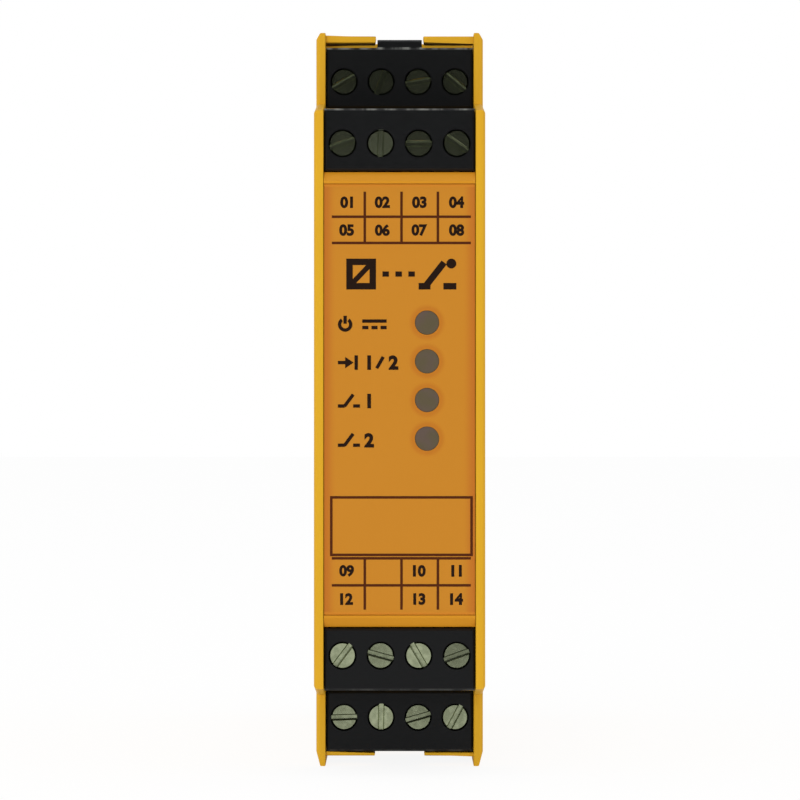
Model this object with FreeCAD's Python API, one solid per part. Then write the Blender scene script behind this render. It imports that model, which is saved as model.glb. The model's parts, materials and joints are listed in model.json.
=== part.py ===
# Safety relay in a slim rail housing, with four plug-in screw terminal blocks.
# X runs across the width, Z up the height and Y back towards the rail.
# The origin is the middle of the seat that lies on the rail. All sizes are in millimetres.

import FreeCAD, Part
import math
import os

from FreeCAD import Vector

# Housing
housing_width = 22.5
housing_height = 99.0
housing_depth = 114.5
side_wall = 1.25
end_wall = 1.4
rear_wall = 2.0
end_inset = 0.4          # the end walls lie this far inside the ends of the side walls
edge_chamfer = 0.35
corner_cut = 8.0         # slanted rear corners
rear_setback = 2.0       # rear face in front of the rail seat
tier_step = 16.0         # the outer terminal tiers lie this far behind the inner ones
tier_slope = 1.9         # height taken by the slanted step of the side walls
tier_lead = 0.4          # the step starts this far before the partition
tip_chamfer = 0.55       # ends of the side walls, across the wall
top_tip_run = 0.9        # and along it, at the top
bottom_tip_run = 2.0     # and at the bottom
partition = 0.8          # wall between the two tiers
fit_gap = 0.1            # play between pieces that slide together
seat_gap = 0.15          # play above and below a terminal block

# Openings of the end walls
ear_setback = 0.8        # front edge of the end wall behind the side wall
ear_length = 4.3         # bar in front of the wire window
notch_width = 6.2        # gap in the bar for a blade that levers the block out
notch_flare = 0.3
top_ear_rise = 0.5       # gap under the bars at the top
bottom_ear_height = 0.45 # thickness of the bars at the bottom
top_window = 8.0         # wire windows along the depth
bottom_window = 14.5
vent_count = 8
vent_pitch = 6.4
vent_width = 2.2
vent_length = 15.0
vent_start = 40.0        # first vent behind the outer tier

# Rail foot
foot_reach = 5.0         # foot behind the rail seat
foot_slope = 3.5
rail_height = 35.0
rail_edge = 1.0
rail_gap = 0.15
hook_gap = 0.25
hook_grip = 1.9
hook_ramp = 1.4
hook_block = 9.5
foot_land = 1.35         # flat left between the foot and the slanted corner

# Rail latch and its spring
latch_width = 12.0
latch_thickness = 2.6
latch_inset = 5.85       # pull end inside the end of the housing
latch_lip = 1.4
latch_eye_width = 5.0
latch_eye_length = 2.0
latch_eye_margin = 2.2
pocket_start = 6.4       # spring pocket below the end of the rail slot
pocket_length = 10.0
pocket_width = 5.0
stop_length = 1.6
stop_height = 2.1
spring_turns = 4
spring_strip = 0.45
spring_depth = 1.6

# Front cover, label and light guides
cover_rib = 1.55         # sloped rib at each end of the label
rib_flat = 0.3
rib_drop = 0.9
label_recess = 0.3
label_thickness = 0.25
cover_plate = 1.6
cover_skirt = 1.5
skirt_depth = 21.0
led_count = 4
led_pitch = 5.08
led_top = 10.1
led_side = 3.6
window_diameter = 3.1
guide_length = 7.0
guide_strip = 1.0
guide_strip_width = 4.6
guide_leg = 2.4
led_width = 2.8
led_length = 3.5
led_height = 1.9

# Boards and their parts
board_thickness = 1.6
board_wall_gap = 0.4
board_end_gap = 0.5
board_rear_gap = 0.5
display_thickness = 1.2
display_height = 30.0
guide_rib = 0.8
guide_rib_height = 1.5
relay_width = 13.0
relay_height = 16.5
relay_spacing = 4.0
relay_end_gap = 5.7      # room between the relays and the end walls
relay_front = 42.5       # relays behind the front of the housing
relay_chamfer = 0.6
capacitor_diameter = 10.0
capacitor_height = 15.0
capacitor_depth = 30.0   # capacitor in front of the rail seat
capacitor_drop = 22.0    # and below it

# Terminal blocks
pole_count = 4
pole_pitch = 5.0
plug_height = 8.2
plug_floor = 0.7         # wall behind the contacts
plug_recess = 0.5        # face of the block behind the edge of the housing
plug_chamfer = 0.3
nose_height = 5.2
nose_depth = 6.8
nose_margin = 1.0
rib_count = 3
rib_width = 0.8
rib_height = 0.5
lug_width = 6.0          # finger lug of the uppermost block, in the notch of the end wall
lug_height = 1.1
lug_length = 4.0
screw_shift = 0.5        # screws lie this far towards the middle of the housing
funnel_width = 4.0
funnel_length = 3.8
wire_width = 2.8

# Clamp screws, M3
head_diameter = 3.5
head_height = 1.8
head_recess = 0.2
slot_width = 0.8
slot_depth = 0.9
thread_diameter = 3.0
thread_play = 0.05       # radius taken off the screw for its thread
screw_length = 4.4       # under the head
head_shelf = 0.9         # wall under the head

# Clamp cages
cage_width = 4.0
cage_breadth = 4.2
cage_nut = 1.2
cage_jaw = 1.0
cage_side = 0.5
cage_travel = 2.0
cage_chamfer = 0.35
jaw_groove = 0.3

# Contacts
bar_thickness = 0.8
bar_width = 2.4
strip_thickness = 0.7
prong_thickness = 0.45
prong_height = 2.0
prong_length = 7.0
pin_size = 1.0
pin_tip = 0.3            # chamfer at the tip
pin_play = 0.05
pin_stagger = 1.9        # steps by which the pins turn to the board

# Headers
header_gap = 0.1
header_floor = 1.6
header_cavity_end = 0.2
header_height = 8.2

# Slot angles of the clamp screws, seen from the front
slot_angles = {
    "top_outer": (30, 70, 10, -40),
    "top_inner": (20, 88, 0, -35),
    "bottom_inner": (53, -15, -60, 20),
    "bottom_outer": (2, 89, 16, 62),
}

# Places worked out from the sizes
half_width = housing_width / 2
half_height = housing_height / 2
inner_half = half_width - side_wall
end_half = half_height - end_inset
cavity_half = end_half - end_wall
y_front = foot_reach - housing_depth
y_outer = y_front + tier_step
y_rear = -rear_setback
y_cavity = y_rear - rear_wall

outer_centre = cavity_half - seat_gap - plug_height / 2
partition_outer = outer_centre - plug_height / 2 - seat_gap
partition_inner = partition_outer - partition
inner_centre = partition_inner - seat_gap - plug_height / 2
cover_half = inner_centre - plug_height / 2 - seat_gap
slope_start = partition_inner - tier_lead

slot_half = rail_height / 2 + rail_gap
hook_y = rail_edge + hook_gap
hook_tip = rail_height / 2 - hook_grip
latch_rear = hook_y + latch_thickness
latch_end = latch_inset - half_height
latch_block = half_height - corner_cut - foot_land - foot_slope - slot_half
pocket_top = -slot_half - pocket_start
pocket_bottom = pocket_top - pocket_length
stop_bottom = pocket_bottom + 2 * fit_gap
stop_top = stop_bottom + stop_length

label_half = cover_half - cover_rib
label_y = y_front + label_recess
label_seat = label_y + label_thickness
plate_back = label_seat + cover_plate
led_heights = [led_top - index * led_pitch for index in range(led_count)]
window_radius = window_diameter / 2
guide_end = label_y + guide_length
display_front = guide_end + fit_gap + led_height
display_back = display_front + display_thickness

board_outside = -inner_half + board_wall_gap
board_inside = board_outside + board_thickness
relay_length = cavity_half - relay_spacing / 2 - relay_end_gap

# Depths behind the face of a terminal block
nut_lift = fit_gap + thread_play
chamber_top = head_recess + head_height + fit_gap + head_shelf
nut_top = chamber_top + nut_lift + cage_travel
bar_top = nut_top + cage_nut + nut_lift
bar_bottom = bar_top + bar_thickness
jaw_top = bar_bottom + cage_travel + fit_gap
jaw_bottom = jaw_top + cage_jaw
plate_top = jaw_bottom + strip_thickness
plate_bottom = plate_top + strip_thickness
chamber_floor = plate_bottom + fit_gap
wire_centre = (bar_bottom + jaw_top) / 2
plug_depth = chamber_floor + plug_floor
nose_end = plug_depth + nose_depth
header_front = plug_depth + header_gap
header_bed = nose_end + header_cavity_end
header_back = header_bed + header_floor
pin_turn = header_back + header_gap + 1.5 * pin_size
pin_hole = pin_size + 4 * pin_play

# Across a pole, from the middle of the block towards the end of the housing
screw_z = -screw_shift
cage_low = screw_z - cage_breadth / 2
cage_high = screw_z + cage_breadth / 2
strip_high = cage_low - fit_gap
strip_low = strip_high - strip_thickness
chamber_low = strip_low - fit_gap
chamber_high = cage_high + seat_gap
chamber_half = cage_width / 2 + seat_gap

eight_flat = math.cos(math.pi / 8)  # how far the flats of an eight-sided rod lie, for corners at 1
plug_half = inner_half - fit_gap
nose_half = plug_half - nose_margin
pole_places = [(index - (pole_count - 1) / 2) * pole_pitch for index in range(pole_count)]

tiers = [
    ("top_outer", 1, outer_centre, y_outer + plug_recess),
    ("top_inner", 1, inner_centre, y_front + plug_recess),
    ("bottom_inner", -1, inner_centre, y_front + plug_recess),
    ("bottom_outer", -1, outer_centre, y_outer + plug_recess),
]


def block(x_range, y_range, z_range):
    ranges = (x_range, y_range, z_range)
    size = [max(pair) - min(pair) for pair in ranges]
    corner = Vector(*[min(pair) for pair in ranges])
    return Part.makeBox(*size, corner)


def both(half):
    return (-half, half)


def around(middle, size):
    return (middle - size / 2, middle + size / 2)


def prism(corners, run):
    return Part.Face(Part.makePolygon(corners + corners[:1])).extrude(run)


def prism_x(outline, x_range):
    corners = [Vector(x_range[0], y, z) for y, z in outline]
    return prism(corners, Vector(x_range[1] - x_range[0], 0, 0))


def prism_y(outline, y_range):
    corners = [Vector(x, y_range[0], z) for x, z in outline]
    return prism(corners, Vector(0, y_range[1] - y_range[0], 0))


def rod_y(radius, x, y_range, z):
    return Part.makeCylinder(radius, y_range[1] - y_range[0], Vector(x, y_range[0], z), Vector(0, 1, 0))


def eight_sided_y(corner, x, y_range, z):
    """Eight-sided rod with its corners at this radius, for the hidden shanks and holes of every pole."""
    angles = [(index + 0.5) * math.pi / 4 for index in range(8)]
    return prism_y([(x + corner * math.cos(angle), z + corner * math.sin(angle)) for angle in angles], y_range)


def funnel_z(x, y, throat, mouth, z_range):
    """Tapered hole from its throat (width, length) at the first height to its mouth at the second."""
    (throat_x, throat_y), (mouth_x, mouth_y) = [(width / 2, length / 2) for width, length in (throat, mouth)]
    taper = Part.makeWedge(-throat_x, z_range[0], -throat_y, -mouth_y, -mouth_x,
                           throat_x, z_range[1], throat_y, mouth_y, mouth_x)
    taper.rotate(Vector(0, 0, 0), Vector(1, 0, 0), 90)
    taper.translate(Vector(x, y, 0))
    return taper


def fuse(shapes):
    return shapes[0].multiFuse(shapes[1:]).removeSplitter()


def edges_on_plane(shape, axis, value):
    def lies_there(edge):
        return all(abs(getattr(vertex, axis) - value) < 1e-6 for vertex in edge.Vertexes)
    return [edge for edge in shape.Edges if lies_there(edge)]


def mirrored_ends(half_outline):
    return half_outline + [(y, -z) for y, z in reversed(half_outline)]


def foot_outline(half):
    """Rear half of the side view, from the top end round to the bottom end."""
    return [
        (y_rear - corner_cut, half),
        (y_rear, half - corner_cut),
        (y_rear, slot_half + hook_block + foot_slope),
        (foot_reach, slot_half + hook_block),
        (foot_reach, hook_tip + hook_ramp),
        (foot_reach - hook_ramp, hook_tip),
        (hook_y, hook_tip),
        (hook_y, slot_half),
        (0, slot_half),
        (0, -slot_half),
        (foot_reach, -slot_half),
        (foot_reach, -slot_half - latch_block),
        (y_rear, -slot_half - latch_block - foot_slope),
        (y_rear, corner_cut - half),
        (y_rear - corner_cut, -half),
    ]


def side_wall_solid(side):
    outline = [
        (y_outer, -half_height),
        (y_outer, -slope_start - tier_slope),
        (y_front, -slope_start),
        (y_front, slope_start),
        (y_outer, slope_start + tier_slope),
        (y_outer, half_height),
    ] + foot_outline(half_height)
    wall = prism_x(outline, (inner_half, half_width))
    wall = wall.makeChamfer(edge_chamfer, edges_on_plane(wall, "X", half_width))
    for sign, run in ((1, top_tip_run), (-1, bottom_tip_run)):
        tip = [
            (half_width - tip_chamfer, sign * half_height),
            (half_width, sign * (half_height - run)),
            (half_width, sign * half_height),
        ]
        wall = wall.cut(prism_y(tip, (y_outer, y_rear)))
    if side < 0:
        wall = wall.mirror(Vector(0, 0, 0), Vector(1, 0, 0))
    return wall


def end_openings():
    """Wire windows, blade notches, vents and thinner front bars of the two end walls."""
    ear_start = y_outer + ear_setback
    window_start = ear_start + ear_length
    ear = (ear_start - seat_gap, window_start + seat_gap)
    cuts = [
        block(both(inner_half), ear, (cavity_half - seat_gap, cavity_half + top_ear_rise)),
        block(both(inner_half), ear, (-cavity_half - bottom_ear_height, -half_height - seat_gap)),
    ]
    for sign, window_length in ((1, top_window), (-1, bottom_window)):
        depth = (sign * (cavity_half - seat_gap), sign * (half_height + seat_gap))
        window = (window_start, window_start + window_length)
        cuts.append(block(both(inner_half), window, depth))
        notch = [
            (-notch_width / 2 - notch_flare, depth[0]),
            (-notch_width / 2, depth[1]),
            (notch_width / 2, depth[1]),
            (notch_width / 2 + notch_flare, depth[0]),
        ]
        cuts.append(prism_y(notch, ear))
        for index in range(vent_count):
            middle = y_outer + vent_start + index * vent_pitch
            cuts.append(block(both(vent_length / 2), around(middle, vent_width), depth))
    return cuts


def base_housing():
    shell = [(y_outer + ear_setback, -end_half), (y_outer + ear_setback, end_half)]
    core = prism_x(shell + foot_outline(end_half), both(inner_half))
    inside = mirrored_ends([
        (y_front, cavity_half),
        (y_cavity - corner_cut, cavity_half),
        (y_cavity, cavity_half - corner_cut),
    ])
    core = core.cut(prism_x(inside, both(inner_half)))
    core = core.cut(end_openings())

    # T-shaped channel of the rail latch
    channel_half = latch_width / 2 + fit_gap
    channel_z = (-slot_half - latch_block - foot_slope, -slot_half)
    channel_front = hook_y - fit_gap
    channel = block(both(channel_half), (channel_front, latch_rear + fit_gap), channel_z)
    opening = block(both(channel_half - latch_lip), (channel_front, foot_reach), channel_z)
    core = core.cut([channel, opening])
    stop = block(both(pocket_width / 2 - 2 * fit_gap),
                 (y_rear, channel_front + stop_height), (stop_bottom, stop_top))

    pieces = [core, stop, side_wall_solid(1), side_wall_solid(-1)]
    for sign in (1, -1):
        wall_z = (sign * partition_inner, sign * partition_outer)
        pieces.append(block(both(inner_half), (y_outer + fit_gap, y_outer + plug_recess + header_back), wall_z))
        guide_z = (sign * (cavity_half - guide_rib_height), sign * cavity_half)
        guide_x = (board_inside + fit_gap, board_inside + fit_gap + guide_rib)
        guide_y = (y_outer + plug_recess + header_back + vent_width, y_cavity - corner_cut)
        pieces.append(block(guide_x, guide_y, guide_z))
    return fuse(pieces)


def front_cover():
    rib = label_half + rib_flat
    back = y_front + skirt_depth
    outline = mirrored_ends([
        (label_seat, label_half),
        (y_front, label_half),
        (y_front, rib),
        (y_front + rib_drop, cover_half),
        (back, cover_half),
        (back, cover_half - cover_skirt),
        (plate_back, cover_half - cover_skirt),
    ])
    cover = prism_x(outline, both(inner_half - fit_gap / 2))
    guide_half = window_radius + fit_gap / 2
    guide_slot = block(around(led_side, 2 * guide_half), (y_front, plate_back),
                       (led_heights[-1] - guide_half, led_top + guide_half))
    return cover.cut(guide_slot)


def label_plate():
    label = block(both(inner_half - fit_gap), (label_y, label_seat), both(label_half - fit_gap))
    holes = [rod_y(window_radius + fit_gap / 2, led_side, (label_y, label_seat), z) for z in led_heights]
    return label.cut(holes)


def light_guides():
    """Four round windows on a strip behind the cover plate, with square legs back to the diodes."""
    strip_front = plate_back + fit_gap / 2
    margin = guide_strip_width / 2
    parts = [block(around(led_side, guide_strip_width), (strip_front, strip_front + guide_strip),
                   (led_heights[-1] - margin, led_top + margin))]
    for z in led_heights:
        parts.append(rod_y(window_radius, led_side, (label_y, strip_front), z))
        parts.append(block(around(led_side, guide_leg), (strip_front + guide_strip, guide_end), around(z, guide_leg)))
    return fuse(parts)


def status_leds():
    depth = (display_front - led_height, display_front)
    chips = [block(around(led_side, led_width), depth, around(z, led_length)) for z in led_heights]
    return Part.makeCompound(chips)


def display_board():
    return block(both(inner_half - board_wall_gap), (display_front, display_back), both(display_height / 2))


def pin_depths():
    return [pin_turn + index * pin_stagger for index in range(pole_count)]


def main_board():
    inner_front = y_front + plug_recess + header_back + header_gap
    outer_front = y_outer + plug_recess + header_back + header_gap
    rear = y_cavity - board_rear_gap
    tier_edge = partition_inner - board_end_gap
    outline = mirrored_ends([
        (display_back, cover_half - cover_skirt - board_end_gap),
        (inner_front, cover_half - cover_skirt - board_end_gap),
        (inner_front, tier_edge),
        (outer_front, tier_edge),
        (outer_front, cavity_half - board_end_gap),
        (rear - corner_cut, cavity_half - board_end_gap),
        (rear, cavity_half - board_end_gap - corner_cut),
    ])
    board = prism_x(outline, (board_outside, board_inside))
    holes = []
    for name, sign, centre, face in tiers:
        for depth in pin_depths():
            holes.append(block((board_outside, board_inside), around(face + depth, pin_hole),
                               around(sign * centre, pin_hole)))
    return board.cut(holes)


def relay(sign):
    near = relay_spacing / 2
    y_range = (y_front + relay_front, y_front + relay_front + relay_width)
    case = block((board_inside, board_inside + relay_height), y_range, (sign * near, sign * (near + relay_length)))
    far_x = board_inside + relay_height
    return case.makeChamfer(relay_chamfer, edges_on_plane(case, "X", far_x))


def capacitor():
    foot = Vector(board_inside, -capacitor_depth, -capacitor_drop)
    return Part.makeCylinder(capacitor_diameter / 2, capacitor_height, foot, Vector(1, 0, 0))


def rail_latch():
    outline = [
        (hook_y, -hook_tip),
        (latch_rear - hook_ramp, -hook_tip),
        (latch_rear, -hook_tip - hook_ramp),
        (latch_rear, latch_end),
        (hook_y, latch_end),
    ]
    latch = prism_x(outline, both(latch_width / 2))
    thickness = (hook_y, latch_rear)
    pocket = block(both(pocket_width / 2), thickness, (pocket_bottom, pocket_top))
    eye_low = latch_end + latch_eye_margin
    eye = block(both(latch_eye_width / 2), thickness, (eye_low, eye_low + latch_eye_length))
    return latch.cut([pocket, eye])


def latch_spring():
    """Flat strip folded to and fro between the stop and the end of the pocket."""
    half = spring_strip / 2
    low = stop_top + fit_gap / 2 + half
    high = pocket_top - fit_gap / 2 - half
    reach = pocket_width / 2 - 2 * fit_gap
    folds = 2 * spring_turns
    step = (high - low) / (folds - 1)
    turns = [((-1) ** (index + 1) * reach, low + index * step) for index in range(folds)]
    line = [(reach, low)] + turns + [(-turns[-1][0], high)]
    depth = (hook_y + fit_gap, hook_y + fit_gap + spring_depth)
    legs = []
    for (x, z), (next_x, next_z) in zip(line, line[1:]):
        outline = [(x, z - half), (next_x, next_z - half), (next_x, next_z + half), (x, z + half)]
        legs.append(prism_y(outline, depth))
    return fuse(legs)


def place(shape, sign, centre, face):
    """Set a piece built about the face of a block into its tier; bottom tiers are mirrored."""
    if sign < 0:
        shape = shape.mirror(Vector(0, 0, 0), Vector(0, 0, 1))
    shape = shape.copy()
    shape.translate(Vector(0, face, sign * centre))
    return shape


def finger_lug():
    root = plug_height / 2 - plug_chamfer
    top = plug_height / 2 + lug_height
    outline = [
        (plug_chamfer, root),
        (plug_chamfer, top - plug_chamfer),
        (2 * plug_chamfer, top),
        (lug_length, top),
        (lug_length, root),
    ]
    return prism_x(outline, both(lug_width / 2))


def plug_housing():
    body = block(both(plug_half), (0, plug_depth), both(plug_height / 2))
    body = body.makeChamfer(plug_chamfer, edges_on_plane(body, "Y", 0))
    nose = block(both(nose_half), (plug_depth, nose_end), both(nose_height / 2))
    rib_pitch = 2 * nose_half / (rib_count + 1)
    ribs = []
    for index in range(rib_count):
        middle = -nose_half + (index + 1) * rib_pitch
        ribs.append(block(around(middle, rib_width), (plug_depth, nose_end - rib_height),
                          (-nose_height / 2 - rib_height, -nose_height / 2)))
    body = fuse([body, nose] + ribs)
    cuts = []
    for x in pole_places:
        cuts.append(rod_y(head_diameter / 2 + fit_gap, x, (0, chamber_top - head_shelf), screw_z))
        cuts.append(eight_sided_y((thread_diameter / 2 + fit_gap) / eight_flat, x, (0, chamber_top), screw_z))
        cuts.append(block(around(x, 2 * chamber_half), (chamber_top, chamber_floor), (chamber_low, chamber_high)))
        cuts.append(funnel_z(x, wire_centre, (wire_width, jaw_top - bar_bottom), (funnel_width, funnel_length),
                             (chamber_high, plug_height / 2)))
        socket_half = pin_size / 2 + pin_play + prong_thickness + fit_gap
        cuts.append(block(around(x, 2 * socket_half), (chamber_floor, nose_end), both(prong_height / 2 + fit_gap)))
    return body.cut(cuts)


def plug_contacts():
    """One bent contact for each pole: clamp bar, strip past the cage and a two-pronged socket."""
    contacts = []
    prong_x = pin_size / 2 + pin_play
    socket_width = 2 * (prong_x + prong_thickness)
    for x in pole_places:
        bar_z = (strip_low, cage_high - fit_gap)
        parts = [
            block(around(x, bar_width), (bar_top, bar_bottom), bar_z),
            block(around(x, bar_width), (bar_top, plate_bottom), (strip_low, strip_high)),
            block(around(x, socket_width), (plate_top, plate_bottom), (strip_low, prong_height / 2)),
        ]
        for side in (1, -1):
            prong = (x + side * prong_x, x + side * (prong_x + prong_thickness))
            parts.append(block(prong, (plate_bottom, plate_bottom + prong_length), both(prong_height / 2)))
        contacts.append(fuse(parts))
    return Part.makeCompound(contacts)


def header_shell():
    shell = block(both(inner_half - fit_gap / 2), (header_front, header_back), both(header_height / 2))
    cavity_z = (-nose_height / 2 - rib_height - fit_gap, nose_height / 2 + fit_gap)
    cuts = [block(both(nose_half + fit_gap), (header_front, header_bed), cavity_z)]
    for x in pole_places:
        hole = around(x, pin_size + pin_play)
        cuts.append(block(hole, (header_bed, header_back), both((pin_size + pin_play) / 2)))
    return shell.cut(cuts)


def header_pins():
    """Square pins that run back through the header, then turn to the board."""
    half = pin_size / 2
    tip_y = plate_bottom + prong_thickness
    pins = []
    for x, turn in zip(pole_places, pin_depths()):
        shaft = block(around(x, pin_size), (tip_y, turn + half), both(half))
        shaft = shaft.makeChamfer(pin_tip, edges_on_plane(shaft, "Y", tip_y))
        tail = block((board_outside - pin_play, x + half), (turn - half, turn + half), both(half))
        pins.append(fuse([shaft, tail]))
    return Part.makeCompound(pins)


def clamp_screw(angle):
    under_head = head_recess + head_height
    head = rod_y(head_diameter / 2, 0, (head_recess, under_head), 0)
    slot = block(both(head_diameter), (head_recess, head_recess + slot_depth), both(slot_width / 2))
    slot.rotate(Vector(0, 0, 0), Vector(0, 1, 0), -angle)
    shank = eight_sided_y(thread_diameter / 2 - thread_play, 0, (under_head, under_head + screw_length), 0)
    return fuse([head.cut(slot), shank])


def clamp_cage():
    outline = [
        (cage_width / 2 - cage_chamfer, nut_top),
        (cage_width / 2, nut_top + cage_chamfer),
        (cage_width / 2, jaw_bottom - cage_chamfer),
        (cage_width / 2 - cage_chamfer, jaw_bottom),
    ]
    outline = outline + [(-x, y) for x, y in reversed(outline)]
    corners = [Vector(x, y, cage_low) for x, y in outline]
    cage = prism(corners, Vector(0, 0, cage_breadth))
    window_half = cage_width / 2 - cage_side
    groove = [
        Vector(-window_half, nut_top + cage_nut, cage_low),
        Vector(-window_half, jaw_top, cage_low),
        Vector(0, jaw_top + jaw_groove, cage_low),
        Vector(window_half, jaw_top, cage_low),
        Vector(window_half, nut_top + cage_nut, cage_low),
    ]
    window = prism(groove, Vector(0, 0, cage_breadth))
    hole = eight_sided_y(thread_diameter / 2 / eight_flat, 0, (nut_top, nut_top + cage_nut), screw_z)
    return cage.cut([window, hole])


def save(name, shape):
    shape.exportStep(os.path.join("parts", name + ".step"))


def build():
    os.makedirs("parts", exist_ok=True)
    save("base_housing", base_housing())
    save("front_cover", front_cover())
    save("label_plate", label_plate())
    save("light_guides", light_guides())
    save("status_leds", status_leds())
    save("display_board", display_board())
    save("main_board", main_board())
    save("relay_k1", relay(1))
    save("relay_k2", relay(-1))
    save("capacitor", capacitor())
    save("rail_latch", rail_latch())
    save("latch_spring", latch_spring())
    plug, contacts, header, pins, cage = plug_housing(), plug_contacts(), header_shell(), header_pins(), clamp_cage()
    for name, sign, centre, face in tiers:
        housing = fuse([plug, finger_lug()]) if name == "top_outer" else plug
        save("plug_" + name, place(housing, sign, centre, face))
        save("contacts_" + name, place(contacts, sign, centre, face))
        save("header_" + name, place(header, sign, centre, face))
        save("pins_" + name, place(pins, sign, centre, face))
        for index, x in enumerate(pole_places):
            screw = clamp_screw(slot_angles[name][index])
            screw.translate(Vector(x, face, sign * (centre + screw_z)))
            save("screw_%s_%d" % (name, index + 1), screw)
            one_cage = place(cage, sign, centre, face)
            one_cage.translate(Vector(x, 0, 0))
            save("cage_%s_%d" % (name, index + 1), one_cage)


build()
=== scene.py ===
import json
import math

import bmesh
import bpy
from mathutils import Matrix, Vector

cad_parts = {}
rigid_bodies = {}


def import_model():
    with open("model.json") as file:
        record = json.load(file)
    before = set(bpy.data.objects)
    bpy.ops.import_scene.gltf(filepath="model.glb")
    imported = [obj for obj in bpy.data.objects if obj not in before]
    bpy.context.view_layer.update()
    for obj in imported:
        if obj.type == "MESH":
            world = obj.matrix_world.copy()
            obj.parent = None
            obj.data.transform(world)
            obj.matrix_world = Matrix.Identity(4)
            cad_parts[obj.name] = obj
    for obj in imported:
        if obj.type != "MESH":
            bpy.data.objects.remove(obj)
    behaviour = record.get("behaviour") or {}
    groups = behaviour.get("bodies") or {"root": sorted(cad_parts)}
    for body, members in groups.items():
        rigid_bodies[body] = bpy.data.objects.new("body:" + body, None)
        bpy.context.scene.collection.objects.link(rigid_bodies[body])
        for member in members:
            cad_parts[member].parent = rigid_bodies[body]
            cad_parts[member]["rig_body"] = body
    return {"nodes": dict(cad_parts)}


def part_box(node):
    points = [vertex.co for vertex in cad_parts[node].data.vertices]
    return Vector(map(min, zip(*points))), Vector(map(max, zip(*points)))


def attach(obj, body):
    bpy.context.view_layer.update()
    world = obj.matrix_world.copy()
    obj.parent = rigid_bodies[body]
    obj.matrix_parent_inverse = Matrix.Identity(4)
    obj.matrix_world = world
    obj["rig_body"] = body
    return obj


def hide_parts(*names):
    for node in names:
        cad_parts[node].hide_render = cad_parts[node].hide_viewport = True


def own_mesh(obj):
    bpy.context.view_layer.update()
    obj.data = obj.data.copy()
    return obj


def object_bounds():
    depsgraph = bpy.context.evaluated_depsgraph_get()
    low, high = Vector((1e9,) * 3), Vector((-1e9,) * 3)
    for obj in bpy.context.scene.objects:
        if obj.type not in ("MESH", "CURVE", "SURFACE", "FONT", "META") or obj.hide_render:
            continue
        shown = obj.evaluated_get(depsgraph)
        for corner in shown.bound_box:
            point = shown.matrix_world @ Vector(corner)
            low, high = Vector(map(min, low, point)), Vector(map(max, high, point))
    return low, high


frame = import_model()
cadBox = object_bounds()
nodes = frame["nodes"]
mm = 0.001
tierNames = ["top_outer", "top_inner", "bottom_inner", "bottom_outer"]
poleCount = 4
print("frame loaded:", len(nodes), "nodes")


# Shader and geometry graphs

def paint(red, green, blue):
    # a colour as it looks on screen, 0 to 255, made linear by the sRGB curve
    channels = [value / 255 for value in (red, green, blue)]
    return tuple(c / 12.92 if c <= 0.04045 else ((c + 0.055) / 1.055) ** 2.4 for c in channels) + (1.0,)


class Wire:
    # one output socket that can be used in sums
    def __init__(self, graph, socket):
        self.graph = graph
        self.socket = socket

    def math(self, operation, *values):
        return self.graph.node("ShaderNodeMath", {"operation": operation}, values)

    def __add__(self, other):
        return self.math("ADD", self, other)

    def __sub__(self, other):
        return self.math("SUBTRACT", self, other)

    def __rsub__(self, other):
        return self.math("SUBTRACT", other, self)

    def __mul__(self, other):
        return self.math("MULTIPLY", self, other)

    def __truediv__(self, other):
        return self.math("DIVIDE", self, other)

    def __pow__(self, other):
        return self.math("POWER", self, other)

    def __abs__(self):
        return self.math("ABSOLUTE", self)

    def highest(self, other):
        return self.math("MAXIMUM", self, other)

    def sine(self):
        return self.math("SINE", self)

    def step(self, start, end):
        # 0 before start, 1 after end, smooth between
        return self.graph.node("ShaderNodeMapRange", {"interpolation_type": "SMOOTHSTEP"},
                               {"Value": self, "From Min": start, "From Max": end})


class Graph:
    def __init__(self, tree):
        self.tree = tree

    def node(self, kind, settings=None, values=(), out=0):
        made = self.tree.nodes.new(kind)
        for key, value in (settings or {}).items():
            setattr(made, key, value)
        pairs = values.items() if isinstance(values, dict) else enumerate(values)
        for key, value in pairs:
            for one in value if isinstance(value, list) else [value]:
                if isinstance(one, Wire):
                    self.tree.links.new(one.socket, made.inputs[key])
                else:
                    made.inputs[key].default_value = one
        return Wire(self, made.outputs[out])

    def mix(self, factor, first, second):
        return self.node("ShaderNodeMix", {"data_type": "RGBA"}, {0: factor, 6: first, 7: second}, out=2)

    def place(self):
        return self.node("ShaderNodeTexCoord", out="Object")

    def axes(self, vector):
        made = self.node("ShaderNodeSeparateXYZ", values=[vector])
        return [Wire(self, socket) for socket in made.socket.node.outputs]

    def noise(self, place, size, detail=2.0, roughness=0.5):
        # size is the width of one blotch in metres
        return self.node("ShaderNodeTexNoise", values={"Vector": place, "Scale": 1 / size, "Detail": detail,
                                                       "Roughness": roughness})

    def stretched(self, place, scale):
        # a pattern at this place is drawn out along each axis with a scale under 1
        return self.node("ShaderNodeMapping", values={"Vector": place, "Scale": scale})

    def bump(self, height, strength, distance):
        return self.node("ShaderNodeBump",
                         values={"Height": height, "Strength": strength, "Distance": distance})


class Finish(Graph):
    # a material with one Principled shader
    def __init__(self, name):
        self.material = bpy.data.materials.new(name)
        self.material.use_nodes = True
        super().__init__(self.material.node_tree)
        self.shader = self.tree.nodes["Principled BSDF"]

    def set(self, **values):
        for key, value in values.items():
            socket = self.shader.inputs[key.replace("_", " ")]
            if isinstance(value, Wire):
                self.tree.links.new(value.socket, socket)
            else:
                socket.default_value = value
        return self.material


# Moulded plastics

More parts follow.
